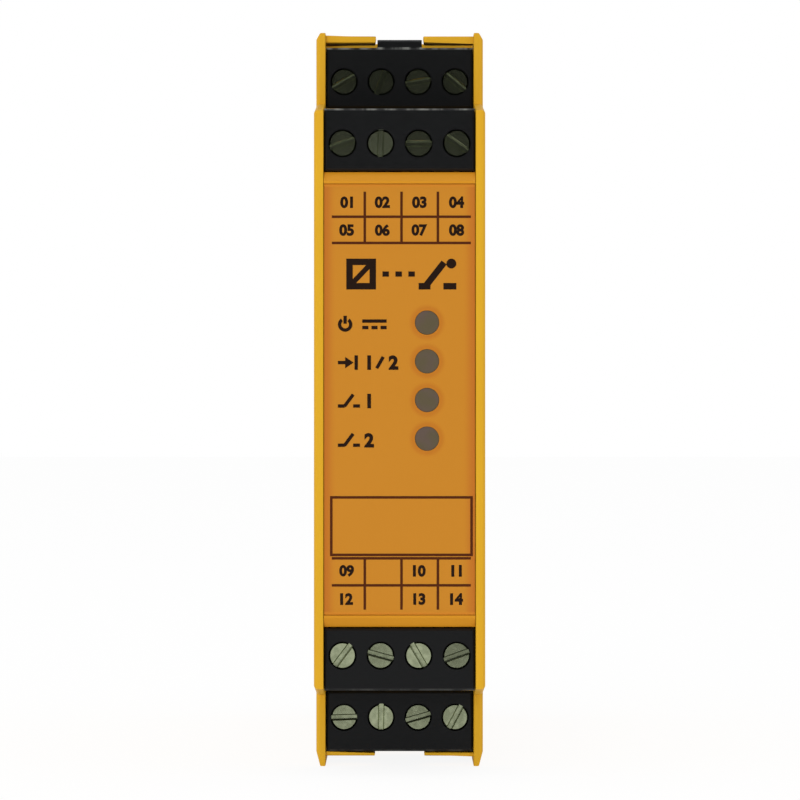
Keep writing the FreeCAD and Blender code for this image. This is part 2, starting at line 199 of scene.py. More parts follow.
mouldedSettings = {
    "grain": 0.16 * mm,        # width of the spark-eroded grain
    "grainHeight": 0.012 * mm,
    "grainRoughness": 0.6, "grainBump": 0.3, "grainShare": 0.3,
    "cloud": 14 * mm,          # slow change of shade over a wall
    "cloudEdges": (0.3, 0.75), "cloudShare": 0.45,
    "roughSpread": 0.12, "specular": 0.22,
}


def mouldedPlastic(name, colour, deeper, roughness):
    s = mouldedSettings
    finish = Finish(name)
    place = finish.place()
    cloud = finish.noise(place, s["cloud"], 3.0)
    grain = finish.noise(place, s["grain"], 2.0, s["grainRoughness"])
    share = cloud.step(*s["cloudEdges"]) * s["cloudShare"] + grain * s["grainShare"]
    shade = finish.mix(share, colour, deeper)
    normal = finish.bump(grain, s["grainBump"], s["grainHeight"])
    rough = grain * s["roughSpread"] + (roughness - s["roughSpread"] / 2)
    return finish.set(Base_Color=shade, Roughness=rough, Normal=normal, Specular_IOR_Level=s["specular"])


housingYellow = mouldedPlastic("housingYellow", paint(227, 173, 34), paint(220, 165, 32), 0.52)
coverYellow = mouldedPlastic("coverYellow", paint(217, 147, 28), paint(211, 141, 26), 0.5)
latchBlack = mouldedPlastic("latchBlack", paint(30, 30, 32), paint(24, 24, 26), 0.45)
headerBlack = mouldedPlastic("headerBlack", paint(30, 30, 32), paint(25, 25, 27), 0.5)
relayCase = mouldedPlastic("relayCase", paint(58, 61, 66), paint(50, 52, 57), 0.4)


blockSettings = {
    "edge": 0.3 * mm,          # chamfer round the face
    # a pale colour on the chamfers: wear, and a painted highlight that is stronger on the upper edges
    "wearAndHighlightColour": paint(150, 152, 146), "topWearAndHighlight": 0.55, "bottomWearAndHighlight": 0.1,
    "edgeMarkLength": 1.6 * mm, "edgeMarkRuns": (0.42, 0.62), "edgeMarkFade": 0.12 * mm,
    # where the wear and painted highlight end behind the face and outside the rim, in widths of the chamfer
    "edgeMarkBehind": 1.5, "edgeMarkOutside": (1.2, 1.4),
    "streak": 1.1 * mm, "streakEdges": (0.35, 0.65), "streakRoughness": 0.25,
    "roughness": 0.34, "grainBump": 0.2, "specular": 0.2,
}


def edgeWearAndHighlight(finish, place):
    # 1 on the outer long chamfer of each block, broken into short runs of wear and painted highlight
    s = blockSettings
    x, y, z = finish.axes(place)
    edge = s["edge"]
    marks = None
    for tier in ("top_outer", "top_inner"):
        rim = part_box("header_" + tier)[1].z - edge
        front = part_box("plug_" + tier)[0].y
        mark = abs(z).step(rim, rim + s["edgeMarkFade"])
        mark = mark * (1 - y.step(front + edge, front + s["edgeMarkBehind"] * edge))
        mark = mark * (1 - abs(z).step(*[rim + share * edge for share in s["edgeMarkOutside"]]))
        marks = mark if marks is None else marks.highest(mark)
    runs = finish.noise(finish.stretched(place, (1, 0.1, 0.1)), s["edgeMarkLength"], 3.0)
    # painted highlight: the upper edges get more of the pale colour, as light falls on them from above
    side = z.step(-mm, mm) * (s["topWearAndHighlight"] - s["bottomWearAndHighlight"]) + s["bottomWearAndHighlight"]
    return marks * runs.step(*s["edgeMarkRuns"]) * side


def blockPlastic():
    # black terminal blocks, with wear and a painted highlight along the edges that catch the light
    s = blockSettings
    finish = Finish("blockBlack")
    place = finish.place()
    grain = finish.noise(place, mouldedSettings["grain"], 2.0, mouldedSettings["grainRoughness"])
    streak = finish.noise(finish.stretched(place, (1, 0.2, 6)), s["streak"], 3.0)
    shade = finish.mix(streak, paint(17, 18, 19), paint(24, 25, 26))
    shade = finish.mix(edgeWearAndHighlight(finish, place), shade, s["wearAndHighlightColour"])
    roughness = streak.step(*s["streakEdges"]) * s["streakRoughness"] + s["roughness"]
    normal = finish.bump(grain, s["grainBump"], mouldedSettings["grainHeight"])
    return finish.set(Base_Color=shade, Roughness=roughness, Normal=normal, Specular_IOR_Level=s["specular"])


blockBlack = blockPlastic()


# Label film

labelSettings = {
    # side: painted shade towards the label's sides, where the rim of its recess shades it
    "middle": paint(202, 132, 32), "cloudy": paint(206, 137, 36), "side": paint(194, 112, 30),
    # end: a lighter strip painted at the label's ends, set against the shade of the recess there
    "end": paint(214, 136, 34), "ring": paint(192, 112, 24),
    "cloud": 9 * mm, "cloudShare": 0.35, "grain": 0.09 * mm, "grainBump": 0.25, "relief": 0.03 * mm,
    "sideShadeWidth": 1.6 * mm, "sideShadeFull": 0.2 * mm, "sideShadeShare": 0.85,
    "endLightWidth": 0.5 * mm, "endLightFull": 0.1 * mm, "endLightShare": 0.9,
    "ringWidth": 0.7 * mm, "ringGap": 0.3 * mm, "ringShare": 0.7,
    "windowRadius": 1.55 * mm, "windowPitch": 5.08 * mm, "windowCount": 4,
}


def labelFilm():
    s = labelSettings
    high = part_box("label_plate")[1]
    lensLow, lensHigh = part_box("light_guides")
    windowX = (lensLow.x + lensHigh.x) / 2
    middleZ = (lensLow.z + lensHigh.z) / 2
    finish = Finish("labelFilm")
    place = finish.place()
    x, y, z = finish.axes(place)
    # painted shade towards the sides of the recessed label
    side = abs(x).step(high.x - s["sideShadeWidth"], high.x - s["sideShadeFull"])
    # painted light at the label's ends, set against the recess's shade
    end = abs(z).step(high.z - s["endLightWidth"], high.z - s["endLightFull"])
    rings = None
    for index in range(s["windowCount"]):
        windowZ = middleZ + (index - (s["windowCount"] - 1) / 2) * s["windowPitch"]
        away = ((x - windowX) ** 2 + (z - windowZ) ** 2) ** 0.5 - (s["windowRadius"] + s["ringGap"])
        ring = 1 - abs(away).step(0.0, s["ringWidth"])
        rings = ring if rings is None else rings.highest(ring)
    grain = finish.noise(place, s["grain"], 2.0)
    cloud = finish.noise(place, s["cloud"], 2.0)
    shade = finish.mix(cloud * s["cloudShare"], s["middle"], s["cloudy"])
    shade = finish.mix(side * s["sideShadeShare"], shade, s["side"])
    shade = finish.mix(rings * s["ringShare"], shade, s["ring"])
    shade = finish.mix(end * s["endLightShare"], shade, s["end"])
    normal = finish.bump(grain * s["grainBump"] + rings, 0.5, s["relief"])
    return finish.set(Base_Color=shade, Roughness=grain * 0.15 + 0.42, Normal=normal, Specular_IOR_Level=0.22)


labelFinish = labelFilm()


def inkFinish(name, colour, thinner, patchSize):
    finish = Finish(name)
    patch = finish.noise(finish.place(), patchSize, 3.0)
    shade = finish.mix(patch, colour, thinner)
    return finish.set(Base_Color=shade, Roughness=patch * 0.2 + 0.45, Specular_IOR_Level=0.15)


printInk = inkFinish("printInk", paint(30, 17, 9), paint(42, 22, 10), 0.25 * mm)
tableInk = inkFinish("tableInk", paint(76, 32, 4), paint(90, 40, 6), 0.3 * mm)


# Light guides

lensSettings = {"cloud": 2.2 * mm, "cloudEdges": (0.3, 0.7), "fine": 0.12 * mm, "relief": 0.01 * mm}


def lensFinish():
    s = lensSettings
    finish = Finish("lensGrey")
    place = finish.place()
    cloud = finish.noise(place, s["cloud"], 2.0)
    fine = finish.noise(place, s["fine"], 2.0)
    shade = finish.mix(cloud.step(*s["cloudEdges"]), paint(98, 82, 72), paint(94, 84, 60))
    normal = finish.bump(fine, 0.2, s["relief"])
    return finish.set(Base_Color=shade, Roughness=fine * 0.15 + 0.35, Normal=normal, Specular_IOR_Level=0.3)


lensGrey = lensFinish()


# Metals

turningSettings = {
    "ringTurn": 40.0,          # radians of the ring pattern for each mm of radius
    "blotch": 0.7 * mm, "blotchEdges": (0.35, 0.65), "dent": 0.6 * mm,
    "ringShare": 0.4, "relief": 0.008 * mm, "roughSpread": 0.12,
}


def turnedZinc(name, bright, dull, roughness):
    # turned zinc-plated steel; rings follow the screw's own axis, kept in the attribute screwPlace
    s = turningSettings
    finish = Finish(name)
    own = finish.node("ShaderNodeAttribute", {"attribute_name": "screwPlace"}, out="Vector")
    x, y, z = finish.axes(own)
    radius = (x * x + y * y) ** 0.5
    rings = (radius * s["ringTurn"]).sine() * 0.5 + 0.5
    place = finish.place()
    blotch = finish.noise(place, s["blotch"], 3.0)
    dents = finish.noise(place, s["dent"], 2.0)
    shade = finish.mix(blotch.step(*s["blotchEdges"]), bright, dull)
    normal = finish.bump(rings * s["ringShare"] + dents * (1 - s["ringShare"]), 0.15, s["relief"])
    rough = blotch * s["roughSpread"] + (roughness - s["roughSpread"] / 2)
    return finish.set(Base_Color=shade, Metallic=1.0, Roughness=rough, Normal=normal)


screwZinc = turnedZinc("screwZinc", paint(176, 184, 151), paint(160, 168, 136), 0.16)


stampedSettings = {"streak": 0.25 * mm, "relief": 0.01 * mm, "roughSpread": 0.2}


def stampedMetal(name, bright, dull, roughness, metallic=1.0):
    # rolled strip with fine streaks along Y
    s = stampedSettings
    finish = Finish(name)
    streak = finish.noise(finish.stretched(finish.place(), (1, 0.15, 1)), s["streak"], 3.0)
    shade = finish.mix(streak, bright, dull)
    rough = streak * s["roughSpread"] + (roughness - s["roughSpread"] / 2)
    return finish.set(Base_Color=shade, Metallic=metallic, Roughness=rough,
                      Normal=finish.bump(streak, 0.2, s["relief"]))


cageZinc = stampedMetal("cageZinc", paint(196, 198, 184), paint(166, 168, 154), 0.35)
tinnedContact = stampedMetal("tinnedContact", paint(212, 208, 198), paint(184, 180, 170), 0.32)
springSteel = stampedMetal("springSteel", paint(176, 176, 174), paint(140, 140, 138), 0.3)
capacitorCan = stampedMetal("capacitorCan", paint(70, 74, 92), paint(58, 62, 78), 0.45, 0.2)


# Circuit boards and diodes

boardSettings = {
    "mask": 0.8 * mm, "trackShare": 0.6,
    "trackWidth": 0.25 * mm, "trackLength": 9 * mm, "trackPitch": 1.6 * mm,
}


def boardFinish():
    # green mask over copper tracks that run in short offset rows
    s = boardSettings
    finish = Finish("boardGreen")
    place = finish.place()
    mask = finish.noise(place, s["mask"], 2.0)
    acrossBoard = finish.node("ShaderNodeMapping", values={"Vector": place, "Rotation": (0, math.pi / 2, 0)})
    track = finish.node("ShaderNodeTexBrick", {"offset": 0.5, "squash": 1.0}, {
        "Vector": acrossBoard, "Color1": (0, 0, 0, 1), "Color2": (0, 0, 0, 1), "Mortar": (1, 1, 1, 1),
        "Scale": 1.0, "Mortar Size": s["trackWidth"], "Brick Width": s["trackLength"],
        "Row Height": s["trackPitch"]})
    shade = finish.mix(mask, paint(26, 96, 48), paint(32, 108, 56))
    tracks = finish.node("ShaderNodeRGBToBW", values=[track]) * s["trackShare"]
    shade = finish.mix(tracks, shade, paint(62, 140, 76))
    return finish.set(Base_Color=shade, Roughness=mask * 0.15 + 0.3, Coat_Weight=0.2)


boardGreen = boardFinish()


def diodeFinish():
    finish = Finish("diodeResin")
    place = finish.place()
    cloud = finish.noise(place, 1.0 * mm, 2.0)
    return finish.set(Base_Color=finish.mix(cloud, paint(226, 224, 206), paint(214, 210, 188)),
                      Roughness=cloud * 0.1 + 0.25, Coat_Weight=0.4)


diodeResin = diodeFinish()
print("finishes made")


# Meshes from the frame

def linkObject(name, mesh):
    piece = bpy.data.objects.new(name, mesh)
    bpy.context.scene.collection.objects.link(piece)
    return piece


def plainMesh(piece, name):
    # the mesh with its modifiers applied
    bpy.context.view_layer.update()
    evaluated = piece.evaluated_get(bpy.context.evaluated_depsgraph_get())
    mesh = bpy.data.meshes.new_from_object(evaluated)
    mesh.name = name
    return mesh


softSettings = {
    "weld": 0.002,             # mm between corners that count as one
    "flatAngle": 1, "creaseAngle": 20, "smoothAngle": 35,
    "segments": 2,
    "flatFace": 0.8,           # square mm over which a face is shaded flat
}


def smoothMesh(mesh, degrees):
    mesh.shade_smooth()
    mesh.set_sharp_from_angle(angle=math.radians(degrees))


def flattenNormals(mesh, smallest):
    # faces larger than the smallest, in square mm, are shaded flat up to their rounded edges
    normals = [corner.vector.copy() for corner in mesh.corner_normals]
    for face in mesh.polygons:
        if face.area > smallest * mm * mm:
            for corner in face.loop_indices:
                normals[corner] = face.normal.copy()
    mesh.normals_split_custom_set(normals)


def softCopy(nodeName, pieceName, finish, slotName, radius, shortest):
    # the CAD solid with its long sharp edges rounded as a mould leaves them
    s = softSettings
    mesh = nodes[nodeName].data.copy()
    form = bmesh.new()
    form.from_mesh(mesh)
    bmesh.ops.remove_doubles(form, verts=form.verts, dist=s["weld"] * mm)
    flat, crease = math.radians(s["flatAngle"]), math.radians(s["creaseAngle"])
    bmesh.ops.dissolve_limit(form, angle_limit=flat, verts=form.verts, edges=form.edges)
    weights = form.edges.layers.float.new("bevel_weight_edge")
    for edge in form.edges:
        if edge.is_manifold and edge.calc_face_angle() > crease and edge.calc_length() > shortest * mm:
            edge[weights] = 1.0
    form.to_mesh(mesh)
    form.free()
    piece = linkObject(pieceName, mesh)
    bevel = piece.modifiers.new("mouldRadius", "BEVEL")
    bevel.limit_method = "WEIGHT"
    bevel.width = radius * mm
    bevel.segments = s["segments"]
    bevel.use_clamp_overlap = True
    piece.data = plainMesh(piece, pieceName)
    piece.modifiers.clear()
    smoothMesh(piece.data, s["smoothAngle"])
    flats = piece.modifiers.new("flatFaces", "WEIGHTED_NORMAL")
    flats.keep_sharp = True
    piece.data = plainMesh(piece, pieceName)
    piece.modifiers.clear()
    flattenNormals(piece.data, s["flatFace"])
    piece.data.materials.clear()
    piece.data.materials.append(finish)
    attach(piece, nodes[nodeName]["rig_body"])
    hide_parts(nodeName)


softPieces = [
    # node, piece, finish, slot, radius of the edges in mm, shortest edge that is rounded
    ("base_housing", "mouldedHousing", housingYellow, "housing", 0.12, 1.0),
    ("front_cover", "mouldedCover", coverYellow, "cover", 0.08, 1.0),
    ("rail_latch", "mouldedLatch", latchBlack, "latch", 0.2, 1.5),
    ("relay_k1", "relayCaseUpper", relayCase, "relay_case", 0.3, 1.5),
    ("relay_k2", "relayCaseLower", relayCase, "relay_case", 0.3, 1.5),
]
for tier in tierNames:
    softPieces.append(("plug_" + tier, "terminalBlock_" + tier, blockBlack, "terminal_black", 0.08, 1.5))
for row in softPieces:
    softCopy(*row)
print("moulded pieces rounded:", len(softPieces))


# Latch spring


def foldedSpring():
    # the CAD spring in spring steel, fixed to the housing; the real one's folds close up by the latch's whole
    # travel as the latch is pulled down
    piece = linkObject("foldedSpring", nodes["latch_spring"].data.copy())
    piece.data.materials.clear()
    piece.data.materials.append(springSteel)
    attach(piece, "housing")
    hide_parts("latch_spring")
    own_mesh(piece)


foldedSpring()
print("spring made")


# Clamp screws

screwSettings = {
    # in mm; the flare is the 45 degree edge along both sides of the slot
    "headRadius": 1.75, "headHeight": 1.8, "rimWidth": 0.15, "rimDepth": 0.15,
    "slotWidth": 0.86, "slotDepth": 1.3, "slotFlare": 0.13,
    "shankRadius": 1.32, "shankLength": 4.4, "threadPitch": 0.5, "threadRadius": 0.14,
}

screwSmoothAngle = 30
headSides = 64
shankSides = 32
threadSteps = 20           # for each turn

# slot angle and small lean of each head in degrees, seen from the front, from left to right
screwTurns = {
    "top_outer": [(30, -0.9, 0.3), (70, -1.2, 0.5), (10, -0.8, -0.6), (-40, -1.0, 0.4)],
    "top_inner": [(20, -0.2, 0.6), (88, 0.6, 0.2), (0, -0.5, -0.4), (-35, -0.6, 0.3)],
    "bottom_inner": [(53, 0.8, 0.5), (-15, -0.4, -0.3), (-60, 1.1, -0.4), (20, -1.0, 0.4)],
    "bottom_outer": [(2, -1.3, 0.3), (89, -0.3, -0.3), (16, -1.7, 0.2), (62, -1.1, -0.5)],
}


def screwTree():
    # a slotted screw with its axis along Z and its face at 0, leant and then turned to face -Y
    tree = bpy.data.node_groups.new("clampScrew", "GeometryNodeTree")
    tree.interface.new_socket("Geometry", in_out="OUTPUT", socket_type="NodeSocketGeometry")
    sizes = {}
    g = Graph(tree)
    for name, value in screwSettings.items():
        tree.interface.new_socket(name, in_out="INPUT", socket_type="NodeSocketFloat").default_value = value
    for name in ("place", "turn", "lean"):
        tree.interface.new_socket(name, in_out="INPUT", socket_type="NodeSocketVector")
    tree.interface.new_socket("finish", in_out="INPUT", socket_type="NodeSocketMaterial")
    groupIn = tree.nodes.new("NodeGroupInput")
    for socket in groupIn.outputs:
        if socket.name:
            sizes[socket.name] = Wire(g, socket)

    def vector(x=0.0, y=0.0, z=0.0):
        return g.node("ShaderNodeCombineXYZ", values=[x, y, z])

    def moved(mesh, z=0.0, rotation=(0, 0, 0)):
        return g.node("GeometryNodeTransform", values={"Geometry": mesh, "Translation": vector(z=z),
                                                       "Rotation": rotation})

    def cylinder(vertices, radius, depth):
        return g.node("GeometryNodeMeshCylinder", {"fill_type": "NGON"},
                      {"Vertices": vertices, "Radius": radius, "Depth": depth})

    head, rim, length = sizes["headHeight"], sizes["rimDepth"], sizes["shankLength"]
    barrel = moved(cylinder(headSides, sizes["headRadius"], head - rim), (head + rim) * -0.5)
    rimCone = g.node("GeometryNodeMeshCone", {"fill_type": "NGON"},
                     {"Vertices": headSides, "Radius Top": sizes["headRadius"] - sizes["rimWidth"],
                      "Radius Bottom": sizes["headRadius"], "Depth": rim})
    rimCone = moved(rimCone, rim * -1.0)
    shank = moved(cylinder(shankSides, sizes["shankRadius"], length), (head + length * 0.5) * -1.0)
    slotLength = sizes["headRadius"] * 3
    slotSize = vector(slotLength, sizes["slotWidth"] - sizes["slotFlare"] * 2, sizes["slotDepth"] * 2)
    slot = moved(g.node("GeometryNodeMeshCube", values={"Size": slotSize}), 0.0, sizes["turn"])
    # a four-sided rod that lies on its corner cuts the flare
    flare = moved(cylinder(4, sizes["slotWidth"] * 0.5, slotLength), 0.0, (0, math.pi / 2, 0))
    flare = moved(flare, 0.0, sizes["turn"])
    body = g.node("GeometryNodeMeshBoolean", {"operation": "UNION", "solver": "EXACT"},
                  {1: [barrel, rimCone, shank]})
    body = g.node("GeometryNodeMeshBoolean", {"operation": "DIFFERENCE", "solver": "EXACT"},
                  {0: body, 1: [slot, flare]})
    pitch = sizes["threadPitch"]
    helix = g.node("GeometryNodeCurveSpiral", values={
        "Resolution": threadSteps, "Rotations": length / pitch - 1.0, "Height": length - pitch,
        "Start Radius": sizes["shankRadius"], "End Radius": sizes["shankRadius"]})
    ridge = g.node("GeometryNodeCurvePrimitiveCircle",
                   values={"Resolution": 4, "Radius": sizes["threadRadius"]})
    thread = g.node("GeometryNodeCurveToMesh",
                    values={"Curve": helix, "Profile Curve": ridge, "Fill Caps": True})
    thread = moved(thread, (head + length - pitch * 0.5) * -1.0)
    whole = g.node("GeometryNodeJoinGeometry", values={0: [body, thread]})
    own = g.node("GeometryNodeInputPosition")
    whole = g.node("GeometryNodeStoreNamedAttribute", {"data_type": "FLOAT_VECTOR", "domain": "POINT"},
                   {"Geometry": whole, "Name": "screwPlace", "Value": own})
    whole = g.node("GeometryNodeTransform", values={"Geometry": whole, "Rotation": sizes["lean"],
                                                    "Scale": (mm, mm, mm)})
    whole = g.node("GeometryNodeTransform", values={"Geometry": whole, "Translation": sizes["place"],
                                                    "Rotation": (math.pi / 2, 0, 0)})
    whole = g.node("GeometryNodeRealizeInstances", values=[whole])
    whole = g.node("GeometryNodeSetMaterial", values={"Geometry": whole, "Material": sizes["finish"]})
    groupOut = tree.nodes.new("NodeGroupOutput")
    tree.links.new(whole.socket, groupOut.inputs[0])
    return tree


def setInputs(modifier, values):
    for item in modifier.node_group.interface.items_tree:
        if item.item_type == "SOCKET" and item.in_out == "INPUT" and item.name in values:
            modifier[item.identifier] = values[item.name]


def grow(tree, name, values):
    # runs a geometry tree on an empty mesh and keeps the result as a plain mesh
    piece = linkObject(name, bpy.data.meshes.new(name))
    modifier = piece.modifiers.new(tree.name, "NODES")
    modifier.node_group = tree
    setInputs(modifier, values)
    piece.data = plainMesh(piece, name)
    piece.modifiers.clear()
    return piece


def clampScrews():
    # one for each pole, with its head flush with the CAD screw's
    tree = screwTree()
    for tier in tierNames:
        for index, (turn, leanX, leanY) in enumerate(screwTurns[tier]):
            tag = "%s_%d" % (tier, index + 1)
            low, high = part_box("screw_" + tag)
            piece = grow(tree, "clampScrew_" + tag, {
                "place": ((low.x + high.x) / 2, low.y, (low.z + high.z) / 2),
                "turn": (0.0, 0.0, math.radians(turn)),
                "lean": (math.radians(leanX), math.radians(leanY), 0.0),
                "finish": screwZinc,
            })
            smoothMesh(piece.data, screwSmoothAngle)
            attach(piece, "screw_" + tag)
            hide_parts("screw_" + tag)


clampScrews()
print("clamp screws made:", len(tierNames) * poleCount)


# Print on the label

printSettings = {
    # in mm from the middle of the front; rise is the ink's thickness, and each shape lies one layer higher
    "rise": 0.012, "layer": 0.0006, "weld": 0.0002, "line": 0.34, "figure": 1.55, "weight": 0.05,
    "columns": [-4.57, 0.25, 5.03], "left": -8.9, "right": 9.36,
    "cells": [-6.96, -2.27, 2.59, 7.48],
    "topLines": [24.0, 20.56], "topColumnEnds": (27.3, 20.6), "topRows": [25.9, 22.25],
    "bottomLines": [-20.85, -24.4], "bottomColumnEnds": (-20.85, -27.6), "bottomRows": [-22.5, -26.2],
    "topFigures": [["01", "02", "03", "04"], ["05", "06", "07", "08"]],
    "bottomFigures": [["09", "", "10", "11"], ["12", "", "13", "14"]],
    "marker": (-8.97, 9.45, -12.85, -20.4),
    "captions": [9.95, 4.85, -0.2, -5.35], "captionLeft": -8.1, "captionHeight": 1.9, "captionStroke": 0.44,
    "numberPlace": 4.1,        # from the left of a caption
    "symbol": (-7.0, 7.45, 14.45, 18.5), "symbolStroke": 0.85, "fineStroke": 0.68,
    "coilWidth": 3.9, "contactWidth": 4.6, "contactDot": 0.65, "dashes": 3,
}


class PrintSheet:
    # flat shapes on the front of the label, in mm across and up
    def __init__(self):
        self.form = bmesh.new()
        self.level = 0.0

    def raiseLevel(self):
        self.level -= printSettings["layer"]

    def face(self, points):
        self.form.faces.new([self.form.verts.new((x, self.level, z)) for x, z in points])

    def patch(self, points):
        self.raiseLevel()
        self.face(points)

    def stroke(self, start, end, width):
        run = Vector((end[0] - start[0], end[1] - start[1]))
        side = Vector((-run.y, run.x)).normalized() * width / 2
        a, b = Vector(start), Vector(end)
        self.patch([a - side, b - side, b + side, a + side])

    def ring(self, middle, radius, width, start, end, steps=36):
        self.raiseLevel()
        angles = [math.radians(start + (end - start) * index / steps) for index in range(steps + 1)]
        for first, second in zip(angles, angles[1:]):
            self.face([(middle[0] + r * math.cos(a), middle[1] + r * math.sin(a))
                       for r, a in ((radius - width / 2, first), (radius + width / 2, first),
                                    (radius + width / 2, second), (radius - width / 2, second))])

    def frame(self, left, right, low, high, width):
        half = width / 2
        self.stroke((left - half, high), (right + half, high), width)
        self.stroke((left - half, low), (right + half, low), width)
        self.stroke((left, high), (left, low), width)
        self.stroke((right, high), (right, low), width)

    def disc(self, middle, radius, steps=24):
        angles = [2 * math.pi * index / steps for index in range(steps)]
        self.patch([(middle[0] + radius * math.cos(a), middle[1] + radius * math.sin(a)) for a in angles])

    def figure(self, text, middle, height, weight):
        self.raiseLevel()
        curve = bpy.data.curves.new("figure", "FONT")
        curve.body = text
        curve.size = height
        curve.offset = weight * height
        curve.resolution_u = 4
        holder = linkObject("figure", curve)
        mesh = plainMesh(holder, "figure")
        bpy.data.objects.remove(holder)
        xs = [v.co.x for v in mesh.vertices]
        ys = [v.co.y for v in mesh.vertices]
        scale = height / (max(ys) - min(ys))
        centre = Vector(((max(xs) + min(xs)) / 2, (max(ys) + min(ys)) / 2, 0))
        standing = Matrix.Rotation(math.pi / 2, 4, "X") @ Matrix.Scale(scale, 4) @ Matrix.Translation(-centre)
        mesh.transform(Matrix.Translation((middle[0], self.level, middle[1])) @ standing)
        self.form.from_mesh(mesh)
        bpy.data.meshes.remove(mesh)

    def finished(self, name, y, finish):
        mesh = bpy.data.meshes.new(name)
        bmesh.ops.remove_doubles(self.form, verts=self.form.verts, dist=printSettings["weld"])
        for face in self.form.faces:
            face.normal_update()
            if face.normal.y > 0:
                face.normal_flip()
        self.form.to_mesh(mesh)
        self.form.free()
        mesh.transform(Matrix.Translation((0, y, 0)) @ Matrix.Scale(mm, 4))
        piece = linkObject(name, mesh)
        body = piece.modifiers.new("inkBody", "SOLIDIFY")
        body.thickness = printSettings["rise"] * mm
        body.offset = -1
        piece.data = plainMesh(piece, name)
        piece.modifiers.clear()
        piece.data.materials.clear()
        piece.data.materials.append(finish)
        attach(piece, "housing")


def labelPrint():
    s = printSettings
    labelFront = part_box("label_plate")[0].y - s["rise"] * mm
    lines = PrintSheet()
    for heights, ends in ((s["topLines"], s["topColumnEnds"]), (s["bottomLines"], s["bottomColumnEnds"])):
        for z in heights:
            lines.stroke((s["left"], z), (s["right"], z), s["line"])
        for x in s["columns"]:
            lines.stroke((x, ends[0]), (x, ends[1]), s["line"])
    left, right, high, low = s["marker"]
    lines.frame(left, right, low, high, s["line"])
    lines.finished("labelTables", labelFront, tableInk)

    ink = PrintSheet()
    for rows, figures in ((s["topRows"], s["topFigures"]), (s["bottomRows"], s["bottomFigures"])):
        for z, row in zip(rows, figures):
            for x, text in zip(s["cells"], row):
                if text:
                    ink.figure(text, (x, z), s["figure"], s["weight"])
    relaySymbol(ink)
    captions(ink)
    ink.finished("labelFigures", labelFront, printInk)


def relaySymbol(sheet):
    # a coil that works a make contact, drawn as in a wiring plan
    s = printSettings
    left, right, low, high = s["symbol"]
    stroke, fine, dot = s["symbolStroke"], s["fineStroke"], s["contactDot"]
    half = stroke / 2
    middle = (low + high) / 2
    coil = left + s["coilWidth"]
    sheet.frame(left + half, coil - half, low + half, high - half, stroke)
    sheet.stroke((left + half, low + half), (coil - half, high - half), fine)
    contact = right - s["contactWidth"]
    dash = (contact - coil) / (2 * s["dashes"] + 1)
    for index in range(s["dashes"]):
        start = coil + (2 * index + 1) * dash
        sheet.stroke((start, middle), (start + dash, middle), fine)
    leadStart, leadEnd, farStart = contact - 0.35, contact + 1.2, right - 1.7
    armFoot, armTop = (contact + 0.5, low + 0.35), (right - 1.6, high - 0.5)
    sheet.stroke(armFoot, armTop, stroke)
    sheet.stroke((leadStart, low + half), (leadEnd, low + half), stroke)
    sheet.stroke((farStart, low + half), (right, low + half), stroke)
    sheet.disc((right - dot, high - dot), dot)


def supplySign(sheet, left, z, half, stroke):
    # a broken ring with a stroke, and a line over three dashes
    drop, firstAngle, lastAngle = 0.1, 125, 415
    lineStart, lineEnd, lineRise = left + 3.2, left + 6.4, 0.35
    dashes, dash, dashPitch, dashDrop = 3, 0.8, 1.2, 0.5
    sheet.ring((left + half, z - drop), half - stroke / 2, stroke, firstAngle, lastAngle)
    sheet.stroke((left + half, z + half + drop), (left + half, z), stroke)
    sheet.stroke((lineStart, z + lineRise), (lineEnd, z + lineRise), stroke)
    for index in range(dashes):
        start = lineStart + index * dashPitch
        sheet.stroke((start, z - dashDrop), (start + dash, z - dashDrop), stroke)


def inputSign(sheet, left, z, half, stroke):
    # an arrow against a bar, and the numbers of both inputs
    shaftEnd, headStart, headEnd, headHalf = left + 1.6, left + 0.95, left + 2.05, 0.75
    bar, slashStart, slashEnd, slashInset = left + 2.4, left + 5.1, left + 5.95, 0.2
    firstNumber, secondNumber = left + printSettings["numberPlace"], left + 7.3
    sheet.stroke((left, z), (shaftEnd, z), stroke)
    sheet.patch([(headStart, z - headHalf), (headEnd, z), (headStart, z + headHalf)])
    sheet.stroke((bar, z - half), (bar, z + half), stroke)
    sheet.figure("1", (firstNumber, z), 2 * half, printSettings["weight"])
    sheet.stroke((slashStart, z - half + slashInset), (slashEnd, z + half - slashInset), stroke)
    sheet.figure("2", (secondNumber, z), 2 * half, printSettings["weight"])


def contactSign(sheet, left, z, half, stroke, number):
    # an open contact and its number
    foot, leadEnd, farStart, farEnd = z - half + 0.3, left + 0.9, left + 2.0, left + 2.9
    armFoot, armTop = (left + 0.85, z - half + 0.25), (farStart, z + half - 0.1)
    sheet.stroke((left, foot), (leadEnd, foot), stroke)
    sheet.stroke(armFoot, armTop, stroke)
    sheet.stroke((farStart, foot), (farEnd, foot), stroke)
    sheet.figure(number, (left + printSettings["numberPlace"], z), 2 * half, printSettings["weight"])


def captions(sheet):
    # one sign beside each light window: supply, inputs and the two contacts
    s = printSettings
    left, stroke, half = s["captionLeft"], s["captionStroke"], s["captionHeight"] / 2
    supply, inputs, first, second = s["captions"]
    supplySign(sheet, left, supply, half, stroke)
    inputSign(sheet, left, inputs, half, stroke)
    contactSign(sheet, left, first, half, stroke, "1")
    contactSign(sheet, left, second, half, stroke, "2")


labelPrint()
print("label printed")


# Finishes of the CAD nodes that stay

